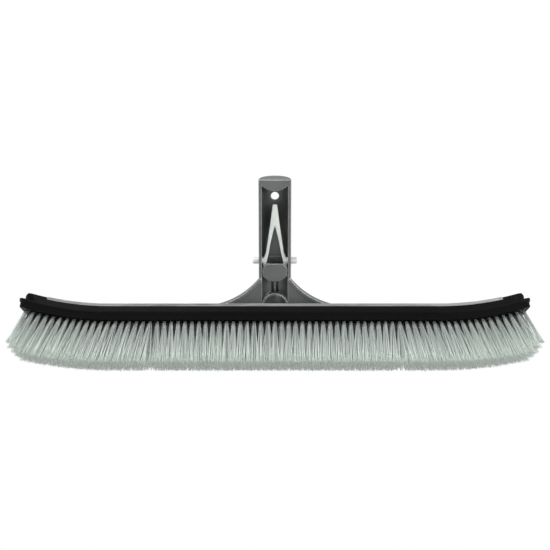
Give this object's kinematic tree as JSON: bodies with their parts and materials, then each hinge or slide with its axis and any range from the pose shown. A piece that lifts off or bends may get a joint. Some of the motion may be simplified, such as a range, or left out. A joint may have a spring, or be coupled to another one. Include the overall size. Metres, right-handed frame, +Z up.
{
  "type": "pool wall brush",
  "caption": "Wide pool wall brush head with upturned ends, an aluminium back plate, fanned nylon bristles and a leaning half-round handle socket with a spring V-clip.",
  "frame": {"origin": "middle of the bristle tips, on the surface the brush stands on", "axes": "+X along the head, +Z up from the bristle tips to the back plate, the handle leans towards -Y"},
  "size_m": [0.4812, 0.0891, 0.1629],
  "materials": {
    "block_plastic": "satin moulded black plastic",
    "plate_aluminium": "rolled, satin",
    "cast_aluminium": "die cast, satin grey",
    "rivet_aluminium": "satin",
    "stainless_steel": "satin",
    "clip_plastic": "satin moulded, off-white",
    "bristle_nylon": "pale grey-green nylon filament",
    "staple_wire": "flat wire"
  },
  "bodies": {
    "brush": {"brush_block": "block_plastic", "back_plate": "plate_aluminium", "handle": "cast_aluminium", "handle_rivets": "rivet_aluminium", "plate_screws": "stainless_steel", "clip_stem": "clip_plastic", "bristle_row_1_left": "bristle_nylon", "bristle_row_1_middle": "bristle_nylon", "bristle_row_1_right": "bristle_nylon", "bristle_row_2_left": "bristle_nylon", "bristle_row_2_middle": "bristle_nylon", "bristle_row_2_right": "bristle_nylon", "bristle_row_3_left": "bristle_nylon", "bristle_row_3_middle": "bristle_nylon", "bristle_row_3_right": "bristle_nylon", "bristle_row_4_left": "bristle_nylon", "bristle_row_4_middle": "bristle_nylon", "bristle_row_4_right": "bristle_nylon", "bristle_row_5_left": "bristle_nylon", "bristle_row_5_middle": "bristle_nylon", "bristle_row_5_right": "bristle_nylon", "staples_row_1": "staple_wire", "staples_row_2": "staple_wire", "staples_row_3": "staple_wire", "staples_row_4": "staple_wire", "staples_row_5": "staple_wire"},
    "left_leg": {"clip_leg_left": "clip_plastic"},
    "right_leg": {"clip_leg_right": "clip_plastic"},
    "left_foot": {"clip_foot_left": "clip_plastic"},
    "right_foot": {"clip_foot_right": "clip_plastic"}
  },
  "joints": [
    {"name": "left_leg_flex", "type": "hinge", "parent": "brush", "child": "left_leg", "pos_m": [-0.00205, -0.03932, 0.12089], "axis": [0, -0.848, -0.5299], "range_deg": [0, 11.5], "stiffness_Nm_per_rad": 0.1},
    {"name": "right_leg_flex", "type": "hinge", "parent": "brush", "child": "right_leg", "pos_m": [0.00205, -0.03932, 0.12089], "axis": [0, 0.848, 0.5299], "range_deg": [0, 11.5], "stiffness_Nm_per_rad": 0.1},
    {"name": "left_foot_flex", "type": "hinge", "parent": "left_leg", "child": "left_foot", "pos_m": [-0.0089, -0.02448, 0.09714], "axis": [0, -0.848, -0.5299], "range_deg": [-11.5, 0]},
    {"name": "right_foot_flex", "type": "hinge", "parent": "right_leg", "child": "right_foot", "pos_m": [0.0089, -0.02448, 0.09714], "axis": [0, 0.848, 0.5299], "range_deg": [-11.5, 0]}
  ],
  "couplings": [
    {"joint": "left_foot_flex", "follows": "left_leg_flex", "ratio": -1},
    {"joint": "right_foot_flex", "follows": "right_leg_flex", "ratio": -1}
  ]
}
